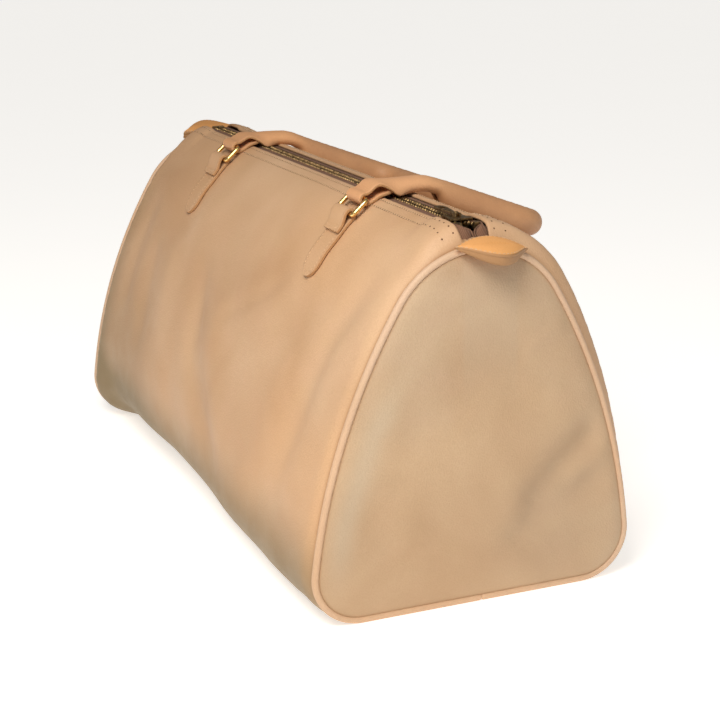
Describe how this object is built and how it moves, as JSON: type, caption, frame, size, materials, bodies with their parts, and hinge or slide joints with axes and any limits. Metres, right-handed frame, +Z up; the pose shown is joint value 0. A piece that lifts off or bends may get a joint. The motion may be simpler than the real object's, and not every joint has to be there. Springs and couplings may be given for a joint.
{
  "type": "leather bag",
  "caption": "Leather holdall with a rounded triangular section, piped ends, a zip along the top and rolled handles on rings.",
  "frame": {"origin": "middle of the flat base, on the floor", "axes": "+X along the bag, -Y out of the front panel, +Z up"},
  "size_m": [0.4813, 0.2435, 0.2279],
  "materials": {
    "tan_leather": "vegetable-tanned, matte",
    "edge_leather": "vegetable-tanned, darker edge",
    "tape_cloth": "woven tape",
    "old_brass": "aged",
    "bright_brass": "polished",
    "rope_cotton": "twisted cotton",
    "grey_board": "pressed fibreboard"
  },
  "bodies": {
    "bag": {"base_board": "grey_board", "body_wrap": "tan_leather", "end_panel_left": "tan_leather", "end_panel_right": "tan_leather", "front_chape_left": "tan_leather", "front_chape_right": "tan_leather", "piping_left": "tan_leather", "piping_right": "tan_leather", "rear_chape_left": "tan_leather", "rear_chape_right": "tan_leather", "zip_bottom_stop": "old_brass", "zip_end_tab_left": "edge_leather", "zip_end_tab_right": "edge_leather", "zip_tape_front": "tape_cloth", "zip_tape_rear": "tape_cloth", "zip_teeth_front": "old_brass", "zip_teeth_rear": "old_brass", "zip_top_stop_front": "old_brass", "zip_top_stop_rear": "old_brass"},
    "front_ring_right": {"front_ring_right": "bright_brass"},
    "front_ring_left": {"front_ring_left": "bright_brass"},
    "rear_ring_right": {"rear_ring_right": "bright_brass"},
    "rear_ring_left": {"rear_ring_left": "bright_brass"},
    "front_handle": {"front_handle_cover": "tan_leather", "front_handle_core": "rope_cotton"},
    "rear_handle": {"rear_handle_cover": "tan_leather", "rear_handle_core": "rope_cotton"},
    "zip_slider": {"zip_slider": "old_brass"},
    "zip_pull": {"zip_pull": "old_brass"}
  },
  "joints": [
    {"name": "front_ring_right_hinge", "type": "hinge", "parent": "bag", "child": "front_ring_right", "pos_m": [0.11, -0.0327, 0.21249], "axis": [1, 0, 0], "range_deg": [0, 123]},
    {"name": "front_ring_left_hinge", "type": "hinge", "parent": "bag", "child": "front_ring_left", "pos_m": [-0.11, -0.0327, 0.21249], "axis": [1, 0, 0], "range_deg": [0, 123]},
    {"name": "front_handle_hinge", "type": "hinge", "parent": "front_ring_right", "child": "front_handle", "pos_m": [0.11, -0.02319, 0.22106], "axis": [1, 0, 0], "range_deg": [0, 100]},
    {"name": "rear_ring_right_hinge", "type": "hinge", "parent": "bag", "child": "rear_ring_right", "pos_m": [0.11, 0.05558, 0.18495], "axis": [1, 0, 0], "range_deg": [0, 100]},
    {"name": "rear_ring_left_hinge", "type": "hinge", "parent": "bag", "child": "rear_ring_left", "pos_m": [-0.11, 0.05558, 0.18495], "axis": [1, 0, 0], "range_deg": [0, 100]},
    {"name": "rear_handle_hinge", "type": "hinge", "parent": "rear_ring_right", "child": "rear_handle", "pos_m": [0.11, 0.06745, 0.18016], "axis": [1, 0, 0], "range_deg": [0, 30]},
    {"name": "zip_slider_slide", "type": "slide", "parent": "bag", "child": "zip_slider", "axis": [1, 0, 0], "range_m": [-0.375, 0]},
    {"name": "zip_pull_hinge", "type": "hinge", "parent": "zip_slider", "child": "zip_pull", "pos_m": [0.192, 0, 0.22332], "axis": [0, 1, 0], "range_deg": [0, 150]}
  ],
  "couplings": [
    {"joint": "front_ring_left_hinge", "follows": "front_ring_right_hinge", "ratio": 1},
    {"joint": "rear_ring_right_hinge", "follows": "front_handle_hinge", "ratio": 1},
    {"joint": "rear_ring_left_hinge", "follows": "front_handle_hinge", "ratio": 1}
  ]
}
